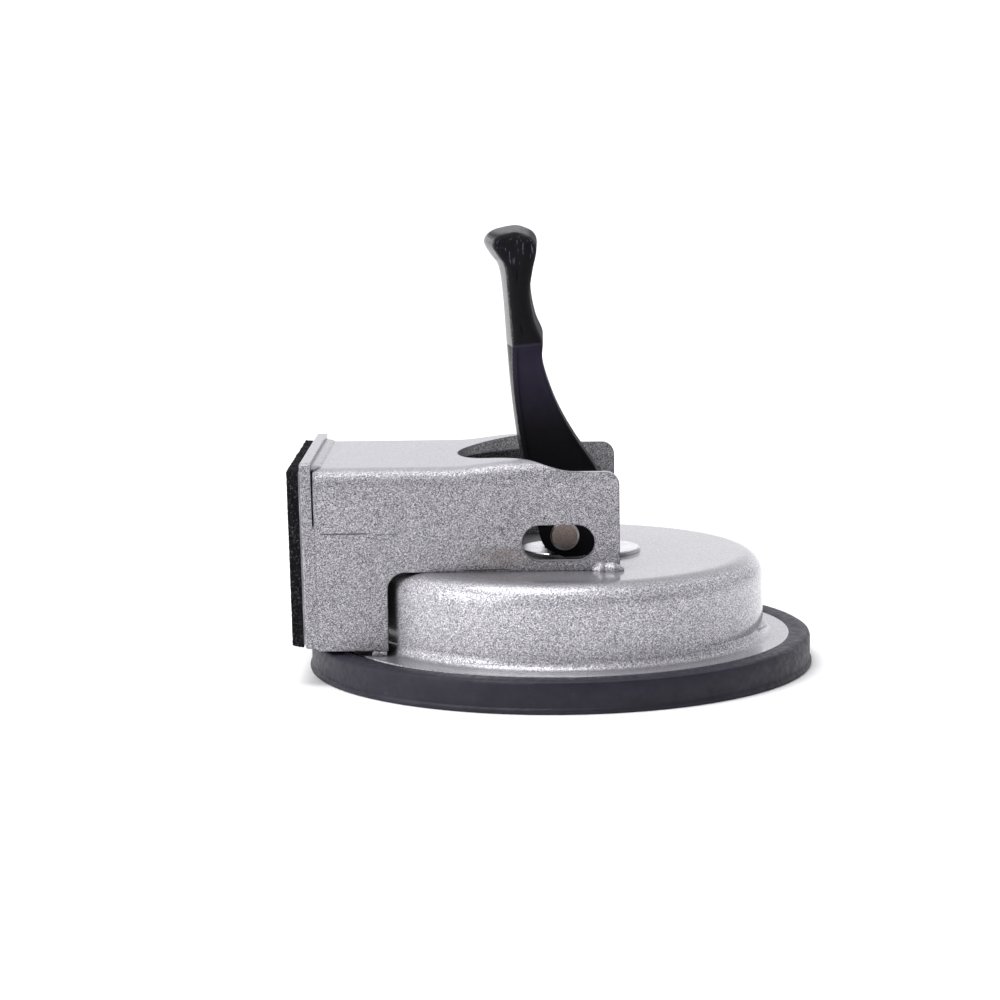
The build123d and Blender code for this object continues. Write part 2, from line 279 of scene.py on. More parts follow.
def bracket_marks(shade, colour):
    """Scratches along the walls, a crack line at the dome, a brown stain, and painted shade along
    the edges.
    """
    height = shade.axis("Z")
    along = shade.axis("X")
    drift = shade.times(shade.noise(5 * MM, 2.0), 0.35 * MM)
    line = shade.math("SUBTRACT", height, drift)
    # each mark: height, start, end and width in mm, then its share and its colour
    marks = (
        (34.2, -53.5, -44.2, 0.22, 0.85, (0.045, 0.045, 0.055)),
        (34.1, -40.4, -37.6, 0.18, 0.5, (0.06, 0.06, 0.07)),
        (35.0, -14.8, -11.9, 0.16, 0.45, (0.07, 0.07, 0.08)),
        (25.85, -22.0, -12.7, 0.22, 0.85, (0.05, 0.04, 0.04)),
    )
    for z, start, end, width, share, tint in marks:
        thin = shade.between(line, (z - width / 2) * MM, (z + width / 2) * MM, 0.12 * MM)
        span = shade.between(along, start * MM, end * MM, 1.2 * MM)
        colour = shade.mix(shade.times(thin, span, share), colour, tint)
    low = shade.between(height, 27.2 * MM, 30.2 * MM, 1.6 * MM)
    beside = shade.between(along, -18.5 * MM, -11.0 * MM, 4 * MM)
    cloudy = shade.ramp(shade.noise(2.4 * MM, 3.0), (0.30, 0.1), (0.60, 1.0))
    patch = shade.times(low, beside, shade.axis("X", cloudy))
    colour = shade.mix(shade.times(patch, 0.5), colour, STAIN)
    # painted shade: a dark line along the bracket's edges
    return edges(shade, colour, 0.5 * MM, 0.85, EDGE_SHADE)


def dome_gap_shadow(shade, colour):
    """Painted shadow in the narrow gap beside the bracket's cut-out."""
    beside = shade.between(shade.axis("X"), -42.0 * MM, -38.0 * MM, 0.9 * MM)
    low = shade.spread(shade.axis("Z"), 24.5 * MM, 22.5 * MM)
    reach = shade.math("ABSOLUTE", shade.axis("Y"))
    outer = shade.between(reach, 18.0 * MM, 27.0 * MM, 1.5 * MM)
    return shade.mix(shade.times(beside, low, outer, 0.92), colour, GAP_SHADOW)


def plate_edges(shade, colour):
    """Painted shade: a dark line along the edges of the bright plate."""
    return edges(shade, colour, 0.45 * MM, 0.85, (0.06, 0.06, 0.065))


def rubber():
    """Black rubber, clouded, with moulding grain and scattered dust."""
    shade = Shade("rubber", Specular_IOR_Level=0.30)
    cloud = shade.noise(7 * MM, 4.0, 0.6)
    colour = shade.ramp(cloud, (0.3, (0.0120, 0.0108, 0.0195)), (0.7, (0.0210, 0.0192, 0.0325)))
    speck = shade.ramp(shade.cells(1.7 * MM, "Distance"), (0.03, 1.0), (0.07, 0.0))
    chance = shade.ramp(shade.noise(4 * MM, 1.0), (0.56, 0.0), (0.62, 1.0))
    dust = shade.times(shade.axis("X", speck), shade.axis("X", chance), 0.6)
    shade.into("Base Color", shade.mix(dust, colour, (0.30, 0.29, 0.31)))
    shade.into("Roughness", shade.ramp(shade.noise(1.5 * MM, 4.0), (0.3, 0.40), (0.7, 0.62)))
    moulding = shade.bump(shade.noise(0.5 * MM, 3.0), 0.06 * MM, 0.5)
    level = shade.noise(3 * MM, 2.0, place=shade.stretched(1, 1, 6))
    shade.into("Normal", shade.bump(level, 0.1 * MM, 0.25, moulding))
    return shade.material


def foam():
    """Black open-cell foam with a few pale glints."""
    shade = Shade("foam", Roughness=0.95, Specular_IOR_Level=0.06)
    pore = shade.cells(0.55 * MM, "Distance")
    colour = shade.ramp(pore, (0.05, (0.018, 0.018, 0.020)), (0.55, (0.003, 0.003, 0.0035)))
    colour = shade.mix(shade.noise(3 * MM, 3.0), colour, (0.014, 0.014, 0.016))
    glint = shade.ramp(shade.axis("X", shade.cells(0.24 * MM)), (0.88, 0.0), (0.93, 1.0))
    share = shade.times(shade.axis("X", glint), 0.28)
    shade.into("Base Color", shade.mix(share, colour, (0.20, 0.20, 0.21)))
    shade.into("Normal", shade.bump(pore, 0.3 * MM, 0.9))
    return shade.material


def black_plastic():
    """Moulded black plastic: a paler band below the grip's ledge, and painted highlights at the
    ledge, near the knob's top and on the gripping side.
    """
    shade = Shade("black_plastic", Specular_IOR_Level=0.12)
    cloud = shade.noise(12 * MM, 2.0)
    colour = shade.ramp(cloud, (0.3, (0.0036, 0.0031, 0.0046)), (0.7, (0.0058, 0.0051, 0.0072)))
    # the marks run along the ledge, which leans a little
    height = shade.math("SUBTRACT", shade.axis("Z"), shade.times(shade.axis("X"), 0.09))
    ledge = PIN.z + LEDGE * MM + 0.8 * MM
    pale_band = shade.between(height, ledge - 6 * MM, ledge, 14 * MM)
    below = shade.spread(height, ledge + 0.4 * MM, ledge - 0.4 * MM)
    colour = shade.mix(shade.times(pale_band, below, 0.85), colour, (0.028, 0.023, 0.044))
    # painted highlight: a pale line along the ledge's lip
    lip = shade.between(height, ledge - 0.5 * MM, ledge + 0.5 * MM, 0.5 * MM)
    colour = shade.mix(shade.times(lip, 0.45), colour, (0.060, 0.054, 0.090))
    # painted highlight: fine upright pale streaks near the knob's top
    knob = shade.between(height, ledge + 20 * MM, ledge + 24 * MM, 1.5 * MM)
    upright = shade.noise(0.42 * MM, 2.0, place=shade.stretched(1, 1, 0.16))
    highlight_streaks = shade.ramp(upright, (0.60, 0.0), (0.68, 1.0))
    streak_share = shade.times(knob, shade.axis("X", highlight_streaks), 0.45)
    colour = shade.mix(streak_share, colour, (0.20, 0.18, 0.27))
    # the gripping side and the knob's top are grained and glossy; their pale grey is a painted
    # sheen in place of the bright surround they reflect
    rear = shade.spread(shade.axis("X", shade.normal), -0.55, -0.80)
    above = shade.spread(height, ledge + 21 * MM, ledge + 25 * MM)
    top = shade.times(above, shade.spread(shade.axis("Z", shade.normal), 0.80, 0.97))
    grained = shade.math("MAXIMUM", rear, shade.times(top, 0.6))
    dimple = shade.axis("X", shade.cells(0.45 * MM))
    grazing_sheen = shade.ramp(dimple, (0.05, 0.010), (0.40, 0.022), (0.95, 0.075))
    shade.into("Base Color", shade.mix(grained, colour, grazing_sheen))
    satin = shade.ramp(shade.noise(2 * MM, 3.0), (0.3, 0.60), (0.7, 0.76))
    shade.into("Roughness", shade.mix(grained, satin, (0.24, 0.24, 0.24)))
    ripple = shade.bump(shade.noise(0.35 * MM, 2.0), 0.03 * MM, 0.35)
    shade.into("Normal", shade.bump(shade.times(dimple, grained), 0.04 * MM, 0.5, ripple))
    return shade.material


def metal(name, colour, rough, brown=0.0, extra=None):
    """Bare or plated steel, finely mottled, with a little tarnish; brown adds more of it."""
    shade = Shade(name, Metallic=1.0)
    tarnish = shade.ramp(shade.noise(2.5 * MM, 4.0), (0.35, 0.0), (0.75, 1.0))
    mixed = shade.mix(shade.times(tarnish, 0.25 + brown), colour, (0.26, 0.19, 0.14))
    shade.into("Base Color", extra(shade, mixed) if extra else mixed)
    mottle = shade.noise(0.4 * MM, 3.0)
    shade.into("Roughness", shade.ramp(mottle, (0.3, rough * 0.75), (0.7, rough * 1.3)))
    shade.into("Normal", shade.bump(mottle, 0.03 * MM, 0.4))
    return shade.material


def pin_end(shade, colour):
    """Pitting on the pin's end, painted shade towards the bottom, and a turned rim painted bright
    as a highlight.
    """
    across = shade.times(shade.axis("X"), shade.axis("X"))
    rise = shade.math("SUBTRACT", shade.axis("Z"), PIN.z)
    radius = shade.math("SQRT", shade.math("ADD", across, shade.times(rise, rise)))
    pits = shade.ramp(shade.cells(0.25 * MM), (0.15, 0.68), (0.5, 0.90), (0.9, 1.0))
    colour = shade.mix(1.0, colour, pits, "MULTIPLY")
    # painted shade: darker towards the bottom of the end
    shaded_low = shade.spread(rise, 1.5 * MM, -3.0 * MM)
    colour = shade.mix(shade.times(shaded_low, 0.5), colour, (0.09, 0.085, 0.085))
    # the turned rim is bare steel, painted brighter as a highlight
    rim = shade.spread(radius, 2.80 * MM, 2.95 * MM)
    return shade.mix(shade.times(rim, 0.8), colour, (0.75, 0.74, 0.76))


def adhesive():
    """The pale sheet between the end plate and the foam."""
    shade = Shade("adhesive", Roughness=0.5)
    cloud = shade.noise(4 * MM, 2.0)
    shade.into("Base Color", shade.ramp(cloud, (0.3, (0.5, 0.52, 0.58)), (0.7, (0.72, 0.74, 0.80))))
    shade.into("Normal", shade.bump(shade.noise(1 * MM, 2.0), 0.05 * MM, 0.5))
    return shade.material


# ======================================================================= mesh helpers ==
def mesh_piece(name, build, material, smooth_angle=35.0):
    """Makes a mesh piece from a function that fills a bmesh, in metres."""
    bm = bmesh.new()
    build(bm)
    bmesh.ops.recalc_face_normals(bm, faces=bm.faces)
    data = bpy.data.meshes.new(name)
    bm.to_mesh(data)
    bm.free()
    data.materials.append(material)
    data.shade_smooth()
    data.set_sharp_from_angle(angle=math.radians(smooth_angle))
    piece = bpy.data.objects.new(name, data)
    bpy.context.scene.collection.objects.link(piece)
    return piece


def skin(bm, rings):
    """Joins rings of points, all of one length, into a closed surface with capped ends."""
    rows = [[bm.verts.new(point) for point in ring] for ring in rings]
    count = len(rows[0])
    for low, high in zip(rows, rows[1:]):
        for i in range(count):
            j = (i + 1) % count
            bm.faces.new((low[i], low[j], high[j], high[i]))
    bm.faces.new(rows[0])
    bm.faces.new(rows[-1])


def curve_through(points, steps):
    """Points of a smooth curve through the given (x, y) points, steps to each span."""
    ends = [points[0], *points, points[-1]]
    result = []
    for a, b, c, d in zip(ends, ends[1:], ends[2:], ends[3:]):
        a, b, c, d = (Vector(p) for p in (a, b, c, d))
        for step in range(steps):
            t = step / steps
            slope = (c - a) * t
            bend = (2 * a - 5 * b + 4 * c - d) * t**2
            twist = (3 * b - a - 3 * c + d) * t**3
            result.append(0.5 * (2 * b + slope + bend + twist))
    result.append(Vector(points[-1]))
    return result


def resample(points, count):
    """The same path with count points spaced evenly along it."""
    lengths = [0.0]
    for a, b in zip(points, points[1:]):
        lengths.append(lengths[-1] + (b - a).length)
    result, i = [], 0
    for step in range(count):
        want = lengths[-1] * step / (count - 1)
        while i < len(lengths) - 2 and lengths[i + 1] < want:
            i += 1
        span = lengths[i + 1] - lengths[i]
        share = 0 if span == 0 else (want - lengths[i]) / span
        result.append(points[i].lerp(points[i + 1], min(share, 1.0)))
    return result


def paint_node(node, material):
    """Gives a CAD piece its material."""
    for spot in NODES[node].material_slots:
        spot.material = material


# ============================================================================ the cup ==
def rubber_cup(material):
    """A turned disc with a soft rim, a seat for the flange and sealing ribs underneath."""
    centre_x = (CUP_LOW.x + CUP_HIGH.x) / 2
    lip = (CUP_HIGH.x - CUP_LOW.x) / 2
    edge = lip - 0.3 * MM
    top = CUP_HIGH.z
    seat_radius = HOUSING_HIGH.x + 0.35 * MM
    seat = HOUSING_LOW.z
    hollow = 0.6 * MM
    turns = 288
    wavy_from = 53 * MM           # beyond this radius the rim wanders a little
    wander_depth = 0.10 * MM
    # the half section as (radius, height), starting with ribs on the sealing face
    profile = []
    rib_start, rib_pitch, rib_count = 34 * MM, 3.2 * MM, 4
    for rib in range(rib_count):
        middle = rib_start + rib * rib_pitch
        for share, height in ((-0.35, 1.0), (-0.12, 0.35), (0.12, 0.35), (0.35, 1.0)):
            profile.append(Vector((middle + share * rib_pitch, hollow * height)))
    profile += [
        Vector((46.5 * MM, hollow)),
        Vector((50 * MM, 0.0)),
        Vector((lip - 0.5 * MM, 0.0)),
        Vector((lip - 0.12 * MM, 0.15 * MM)),
        Vector((lip, 0.5 * MM)),
        Vector((lip - 0.05 * MM, 0.95 * MM)),
        Vector((edge - 0.08 * MM, 1.35 * MM)),
        Vector((edge - 0.02 * MM, 2.2 * MM)),
        Vector((edge, top * 0.6)),
        Vector((edge - 0.02 * MM, top - 1.0 * MM)),
        Vector((edge - 0.22 * MM, top - 0.4 * MM)),
        Vector((edge - 0.75 * MM, top - 0.08 * MM)),
        Vector((edge - 1.3 * MM, top)),
        Vector((seat_radius + 0.5 * MM, top - 0.05 * MM)),
        Vector((seat_radius + 0.1 * MM, top - 0.35 * MM)),
        Vector((seat_radius, seat + 0.3 * MM)),
        Vector((seat_radius - 0.3 * MM, seat)),
        Vector((44 * MM, seat)),
        Vector((38 * MM, seat)),
    ]

    def build(bm):
        rings = []
        for spot in profile:
            ring = []
            for step in range(turns):
                angle = 2 * math.pi * step / turns
                around = Vector((math.cos(angle), math.sin(angle), 0))
                wander = 0.0
                if spot.x > wavy_from and spot.y > 1 * MM:
                    seed = around * 3.1 + Vector((0, 0, spot.y * 400))
                    wander = wander_depth * noise.noise(seed)
                    wander -= wander_depth
                place = around * (spot.x + wander)
                ring.append((centre_x + place.x, place.y, spot.y))
            rings.append(ring)
        skin(bm, rings)

    piece = mesh_piece("rubber_disc", build, material, 40.0)
    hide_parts("rubber_cup")
    # the share of the stud's travel at each radius, from the rim to the middle; the values are not
    # kept
    still, moving = 47 * MM, 33 * MM
    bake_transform(piece)
    for vertex in piece.data.vertices:
        radius = math.hypot(vertex.co.x - centre_x, vertex.co.y)
        ease(radius, still, moving)


# ========================================================================== the spring ==
def return_spring(material):
    """A coil with closed ends, attached to the body."""
    wire = 0.9 * MM                       # radius of the wire
    coil = (SPRING_HIGH.x - SPRING_LOW.x) / 2 - wire
    low, high = SPRING_LOW.z + wire, SPRING_HIGH.z - wire
    turns, steps, sides = 5.5, 40, 10
    closed = 0.75                         # turns that lie flat at each end

    def build(bm):
        rings = []
        total = int(turns * steps)
        for i in range(total + 1):
            share = i / total
            rise = min(max((share * turns - closed) / (turns - 2 * closed), 0.0), 1.0)
            angle = 2 * math.pi * turns * share
            out = Vector((math.cos(angle), math.sin(angle), 0))
            place = out * coil + Vector((0, 0, low + (high - low) * rise))
            ring = []
            for side in range(sides):
                a = 2 * math.pi * side / sides
                over = Vector((0, 0, wire * math.sin(a)))
                ring.append(place + out * wire * math.cos(a) + over)
            rings.append(ring)
        skin(bm, rings)

    piece = mesh_piece("return_coil", build, material, 60.0)
    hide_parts("return_spring")
    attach(piece, "body")
    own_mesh(piece)


# =========================================================================== the lever ==
# The outline is measured from the pin in millimetres, x towards +X and y up, as in the CAD.
LEVER_BACK = [
    (-11.4, 68.4), (-15.6, 67.9), (-17.6, 65.8), (-16.3, 63.0), (-14.4, 60.2), (-13.5, 54.4),
    (-12.8, 43.9), (-12.0, 32.6), (-10.5, 20.0), (-8.2, 9.0), (-6.2, 2.4), (-4.6, -2.4),
    (-0.4, -4.85),
]
LEVER_FRONT = [
    (-9.4, 68.2), (-6.7, 67.0), (-5.6, 64.4), (-6.6, 59.4), (-7.2, 54.2), (-6.2, 48.2),
    (-4.5, 43.6), (-4.6, 38.2), (-2.85, 32.0), (-0.45, 26.4), (2.75, 20.8), (6.5, 15.2),
    (9.66, 9.5),
]
CAM_RISE = LIFT / MM / LEVER_TURN     # mm the cam's face moves out for each radian
CAM_BASE = 4.8                        # height of the pin over the cam's face at rest
LEDGE = 42.6                          # height of the grip's lower ledge above the pin
TILT = 0.35               # the rows fall this far towards the back and rise towards the front
LOBE_TOP = 12.0                       # height where the wide cam lobes end
LOBE_HALF, ARM_HALF, GRIP_HALF = 14.4, 4.5, 15.9
LEVEL_HIGH, LEVEL_LOW = 62.0, 8.0     # between these the rows are flat but for the tilt
CROWN_ARM, CROWN_GRIP = 0.9, 2.5      # how far the back bulges at mid-width
CROWN_STARTS = (6.0, 14.0)            # heights between which the bulge begins
CROWN_GROWS = (28.0, 52.0)            # and between which it goes from arm to grip
KNOB_TOP, KNOB_ROUND = 68.6, 3.2      # the knob's top and the rounding of its ends
STEP = 0.5                            # height over which the width changes
RIM, RECESS = 0.5, 0.35               # border and depth of the arm's sunk side panels
BACK_STEPS, FRONT_STEPS = 16, 12      # points across the back and the front of a row
LEVER_SHARP = 42.0                    # edges sharper than this many degrees stay crisp
FORK_ROUND, FORK_HALF = 7.0, 4.3      # radius and half width of the gap round the pin
FORK_BLOCK = [(-4.5, 4.5), (-4.5, -12.0), (20.0, -12.0), (20.0, 4.5)]
BORE_RADIUS, BORE_HALF = 3.27, 30.0


def cam_point(turn):
    """The point of the cam's face that touches the wear plate after this turn, in mm."""
    reach = CAM_BASE + CAM_RISE * turn
    return Vector(
        (
            reach * math.sin(turn) + CAM_RISE * math.cos(turn),
            CAM_RISE * math.sin(turn) - reach * math.cos(turn),
        )
    )


def ease(value, low, high):
    """0 at low and 1 at high, with a soft start and end; low may be the larger."""
    share = min(max((value - low) / (high - low), 0.0), 1.0)
    return share * share * (3 - 2 * share)


def half_width(height):
    """Half the lever's width: wide at the lobes, narrow along the arm, widest at the grip."""
    lobe = 1 - ease(height, LOBE_TOP - STEP, LOBE_TOP)
    grip = ease(height, LEDGE, LEDGE + STEP)
    over = min(max((height - KNOB_TOP + KNOB_ROUND) / KNOB_ROUND, 0.0), 1.0)
    rounding = KNOB_ROUND * (1 - math.sqrt(1 - over**2))
    return ARM_HALF + (LOBE_HALF - ARM_HALF) * lobe + (GRIP_HALF - ARM_HALF) * grip - rounding


def lever_section(back, front, height):
    """One closed loop across the lever between a back and a front point, as 3-D points in mm."""
    half = half_width(height)
    depth = (front - back).length
    across = (front - back) / max(depth, 1e-6)
    bulge = CROWN_ARM + (CROWN_GRIP - CROWN_ARM) * ease(height, *CROWN_GROWS)
    crown = bulge * ease(height, *CROWN_STARTS) * min(depth / 10, 1.0)
    grip = ease(height, LEDGE - 1.0, LEDGE + 3.0)
    back_round = min(0.6 + 1.2 * grip, depth * 0.25)
    front_round = min(0.5 + 2.1 * grip, depth * 0.4)
    rim = min(RIM, depth * 0.2)
    starts = ease(height, LOBE_TOP, LOBE_TOP + 1.5)
    ends = ease(height, LEDGE - 1.6, LEDGE - 0.8)
    recess = RECESS * starts * (1 - ends)
    loop = []

    def add(inset, y):
        point = back + across * inset
        loop.append((point.x, y, point.y))

    flat = half - back_round
    for i in range(BACK_STEPS + 1):
        y = -flat + 2 * flat * i / BACK_STEPS
        add(crown * (y / half) ** 2, y)
    start = crown * (flat / half) ** 2
    # one side as (distance from the back, y): back corner, sunk panel, front corner
    side = []
    for i in range(1, 6):
        a = math.pi / 2 * i / 5
        side.append((start + back_round * (1 - math.cos(a)), flat + back_round * math.sin(a)))
    inner, far = side[-1][0], depth - front_round
    panel_low = min(inner + rim, far)
    panel_high = max(far - 0.6, panel_low)
    side.append((panel_low, half))
    side.append((min(panel_low + 0.35, panel_high), half - recess))
    for i in range(1, 6):
        share = 0.2 + 0.16 * i
        side.append((panel_low + (panel_high - panel_low) * share, half - recess))
    side.append((far, half))
    for i in range(1, 5):
        a = math.pi / 2 * i / 4
        y = half - front_round * (1 - math.cos(a))
        side.append((far + front_round * math.sin(a), y))
    for inset, y in side:
        add(inset, y)
    edge = half - front_round
    for i in range(1, FRONT_STEPS):
        add(depth, edge - 2 * edge * i / FRONT_STEPS)
    for inset, y in reversed(side):
        add(inset, -y)
    return loop


def cut_at(path, heights):
    """Points of a falling path at the given heights."""
    result = []
    for height in heights:
        for a, b in zip(path, path[1:]):
            if a.y >= height >= b.y:
                result.append(a.lerp(b, (a.y - height) / max(a.y - b.y, 1e-9)))
                break
    return result


def lever_rings():
    """The lever's loops from the knob down to the cam, in metres."""
    cam = [cam_point(LEVER_TURN * (1 - i / 12)) for i in range(13)]
    back = curve_through(LEVER_BACK, 12)
    front = curve_through(LEVER_FRONT, 12) + cam
    pitch = 0.5
    count = round((LEVEL_HIGH - LEVEL_LOW) / pitch) + 1
    even = [LEVEL_HIGH - pitch * i for i in range(count)]
    jumps = [LEDGE, LEDGE + STEP, LOBE_TOP, LOBE_TOP - STEP]
    levels = sorted({round(h, 4) for h in even + jumps}, reverse=True)
    parts = []
    for path, shift in ((back, -TILT), (front, TILT)):
        level = cut_at(path, [height + shift for height in levels])
        top = [p for p in path if p.y > level[0].y] + level[:1]
        low = level[-1:] + [p for p in path if p.y < level[-1].y]
        parts.append(resample(top, 22)[:-1] + level + resample(low, 26)[1:])
    for b, f in zip(*parts):
        yield [PIN + Vector(p) * MM for p in lever_section(b, f, (b.y + f.y) / 2)]


def circle(radius, count=48):
    """Points of a circle round the pin, in mm."""
    turns = [2 * math.pi * i / count for i in range(count)]
    return [(radius * math.cos(turn), radius * math.sin(turn)) for turn in turns]


def carve(piece, name, outline, half):
    """Cuts a prism along Y out of a piece; its outline is in mm round the pin."""

    def prism(bm):
        skin(bm, [[PIN + Vector((x, side * half, z)) * MM for x, z in outline] for side in (-1, 1)])

    tool = mesh_piece(name, prism, piece.data.materials[0])
    change = piece.modifiers.new("cut", "BOOLEAN")
    change.object = tool
    change.operation = "DIFFERENCE"
    change.solver = "EXACT"
    bpy.context.view_layer.update()
    graph = bpy.context.evaluated_depsgraph_get()
    data = bpy.data.meshes.new_from_object(piece.evaluated_get(graph))
    piece.modifiers.clear()
    piece.data = data
    bpy.data.objects.remove(tool)


def cam_lever(material):
    """The lever: cam lobes, arm and grip in one, with the gap and the bore cut out."""

    def build(bm):
        skin(bm, list(lever_rings()))

    piece = mesh_piece("lever_moulding", build, material, LEVER_SHARP)
    carve(piece, "fork_round", circle(FORK_ROUND), FORK_HALF)
    carve(piece, "fork_block", FORK_BLOCK, FORK_HALF)
    carve(piece, "pin_bore", circle(BORE_RADIUS), BORE_HALF)
    piece.data.set_sharp_from_angle(angle=math.radians(LEVER_SHARP))
    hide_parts("cam_lever")
    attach(piece, "lever")


# ============================================================================ the foam ==
def foam_pad(material):
    """An open-cell pad with torn, uneven edges, set on the slope of the end plate."""
    low, high = FOAM_LOW, FOAM_HIGH
    thick = 2.6 * MM
    slope = (high.x - low.x - thick) / (high.z - low.z)
    columns, rows, layers = 118, 88, 7
    face_inset, pore_depth = 0.05 * MM, 0.14 * MM     # the outer face, and its pores
    torn, torn_wave, torn_pore = 0.20 * MM, 0.50 * MM, 0.40 * MM
    edge_inset = 0.15 * MM

    def build(bm):
        grid = {}

        def spot(i, j, k):
            key = (i, j, k)
            if key in grid:
                return grid[key]
            y = low.y + (high.y - low.y) * i / columns
            z = low.z + (high.z - low.z) * j / rows
            depth = thick * k / layers
            outer = low.x + (high.z - z) * slope
            place = Vector((outer + depth, y, z))
            seed = place * 1000
            pores = noise.noise(seed * 1.6) * 0.5 + noise.noise(seed * 3.1) * 0.35
            inward = Vector((0, 0, 0))
            if k == 0:
                inward.x += face_inset + pore_depth * pores
            edge_y = (i == 0) - (i == columns)
            edge_z = (j == 0) - (j == rows)
            ragged = torn + torn_wave * noise.noise(seed * 0.35) + torn_pore * pores
            ragged = max(ragged, 0.0)
            inward.y += edge_y * ragged
            inward.z += edge_z * ragged
            if k == 0 and (edge_y or edge_z):
                inward.x += edge_inset
            grid[key] = bm.verts.new(place + inward)
            return grid[key]

        def face(*corners):
            bm.faces.new([spot(*corner) for corner in corners])

        for i in range(columns):
            for j in range(rows):
                for k in (0, layers):
                    face((i, j, k), (i + 1, j, k), (i + 1, j + 1, k), (i, j + 1, k))
        for k in range(layers):
            for i in range(columns):
                for j in (0, rows):
                    face((i, j, k), (i + 1, j, k), (i + 1, j, k + 1), (i, j, k + 1))
            for j in range(rows):
                for i in (0, columns):
                    face((i, j, k), (i, j + 1, k), (i, j + 1, k + 1), (i, j, k + 1))

    piece = mesh_piece("foam_block", build, material, 60.0)
    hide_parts("foam_pad")
    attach(piece, "body")


# =========================================================================== the welds ==
def bead(name, path, width, height, ripple, seed, material, lumpy=1.0, taper=0.05):
    """A weld bead along a path of (place, up) pairs: a low mound with scalloped ripples.

    ripple is the length of one scallop, lumpy scales all unevenness, and taper is the share of
    the length over which each end thins out.
    """
    steps = 90
    sides = 14
    whole = sum((b[0] - a[0]).length for a, b in zip(path, path[1:]))

    def build(bm):
        rings = []
        for i in range(steps + 1):
            share = i / steps
            at = share * (len(path) - 1)
            index = min(int(at), len(path) - 2)
            (p0, u0), (p1, u1) = path[index], path[index + 1]
            place = p0.lerp(p1, at - index)
            up = u0.lerp(u1, at - index).normalized()
            along = (p1 - p0).normalized()
            side = along.cross(up)
            length = whole * share
            end = min(1.0, share / taper, (1 - share) / taper)
            end = math.sqrt(max(end, 0.02))
            scallop = abs(math.sin(math.pi * length / ripple))
            wander = noise.noise(Vector((length * 350, seed, 0)))
            w = width * end * (0.88 + lumpy * (0.10 * scallop + 0.18 * wander))
            h = height * end * (0.80 + lumpy * (0.20 * scallop + 0.25 * wander))
            shift = 0.25 * lumpy * width * noise.noise(Vector((length * 180, seed + 7, 3)))
            ring = []
            for s in range(sides):
                a = 2 * math.pi * s / sides
                across = w * math.cos(a) + shift
                ring.append(place + side * across + up * h * math.sin(a))
            rings.append(ring)
        skin(bm, rings)

    piece = mesh_piece(name, build, material, 70.0)
    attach(piece, "body")
    return piece


def welds(wall_paint, foot_paint):
    """Beads at the end plate's seams and under the bracket on the dome, and two low tacks."""
    half = BRACKET_HIGH.y
    up = Vector((0, 0, 1))
    top = 48.6 * MM           # just under the top plate beside the seam
    seam_x = PLATE_HIGH.x - 0.8 * MM
    seam = bead(
        "top_bead",
        [(Vector((seam_x, y * MM, top)), up) for y in (-25.2, 25.2)],
        width=2.7 * MM, height=0.95 * MM, ripple=6.0 * MM, seed=1.0,
        material=wall_paint, lumpy=0.16,
    )
    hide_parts("top_weld")
    # the side seams lean with the plate: (x, z) at the foot and at the head
    ends = (
        (PLATE_HIGH.x + 0.20 * MM, 8.4 * MM),
        (PLATE_HIGH.x - 0.18 * MM, 36.2 * MM),
    )
    for side, tag in SIDES:
        out = Vector((0, side, 0))
        path = [(Vector((x, side * (half - 0.22 * MM), z)), out) for x, z in ends]
        bead(
                f"side_bead_{tag}", path,
                width=0.75 * MM, height=0.30 * MM, ripple=5.0 * MM, seed=3.0 + side,
                material=wall_paint, lumpy=0.15,
            )
    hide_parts("side_welds")
    toe_x = BRACKET_HIGH.x
    floor = HOUSING_HIGH.z
    for side, tag in SIDES:
        y = side * (half + 0.1 * MM)
        slant = Vector((0, side, 1)).normalized()
        path = [
            (Vector((toe_x - 6.3 * MM, y, floor + 0.45 * MM)), slant),
            (Vector((toe_x - 3.0 * MM, y, floor + 0.4 * MM)), slant),
            (Vector((toe_x + 0.9 * MM, y, floor + 0.4 * MM)), slant),
        ]
        foot = bead(
            f"foot_bead_{tag}", path,
            width=1.95 * MM, height=1.30 * MM, ripple=3.4 * MM, seed=9.0 + side,
            material=foot_paint, lumpy=1.3, taper=0.28,
        )
        if side < 0:
            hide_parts("foot_welds")
        corner = Vector((-40.6 * MM, side * (half - 0.6 * MM), 7.35 * MM))
        behind, ahead = Vector((2.6 * MM, 0, 0)), Vector((0.9 * MM, 0, 0))
        bead(
            f"corner_tack_{tag}",
            [(corner - behind, slant), (corner + ahead, slant)],
            width=0.95 * MM, height=0.75 * MM, ripple=1.7 * MM, seed=15.0 + side,
            material=wall_paint,
        )


# =================================================================== camera and studio ==
def camera():
    """The view of the object: a long lens a little above it, turned slightly in its own plane."""
    place = Vector((-2.75, -666.43, 137.95)) * MM
    yaw, pitch, roll = math.radians(-1.03), math.radians(8.56), math.radians(0.79)
    forward = Vector(
        (math.sin(yaw) * math.cos(pitch), math.cos(yaw) * math.cos(pitch), -math.sin(pitch))
    )
    right = Vector((math.cos(yaw), -math.sin(yaw), 0))
    up = right.cross(forward)
    tilted_right = right * math.cos(roll) - up * math.sin(roll)
    tilted_up = up * math.cos(roll) + right * math.sin(roll)
    data = bpy.data.cameras.new("camera")
    data.sensor_width = 36.0
    data.lens = 105.62
    data.clip_start, data.clip_end = 0.01, 50.0
    eye = bpy.data.objects.new("camera", data)
    basis = Matrix((tilted_right, tilted_up, -forward)).transposed().to_4x4()
    eye.matrix_world = Matrix.Translation(place) @ basis
    bpy.context.scene.collection.objects.link(eye)
    bpy.context.scene.camera = eye


def softbox(name, place, aim, width, height, power):
    """A rectangular area light at a place, turned to its aim."""
    data = bpy.data.lights.new(name, "AREA")
    data.shape = "RECTANGLE"
    data.size, data.size_y = width, height
    data.energy = power
    light = bpy.data.objects.new(name, data)
    light.location = place
    light.rotation_euler = (Vector(aim) - Vector(place)).to_track_quat("-Z", "Y").to_euler()
    bpy.context.scene.collection.objects.link(light)


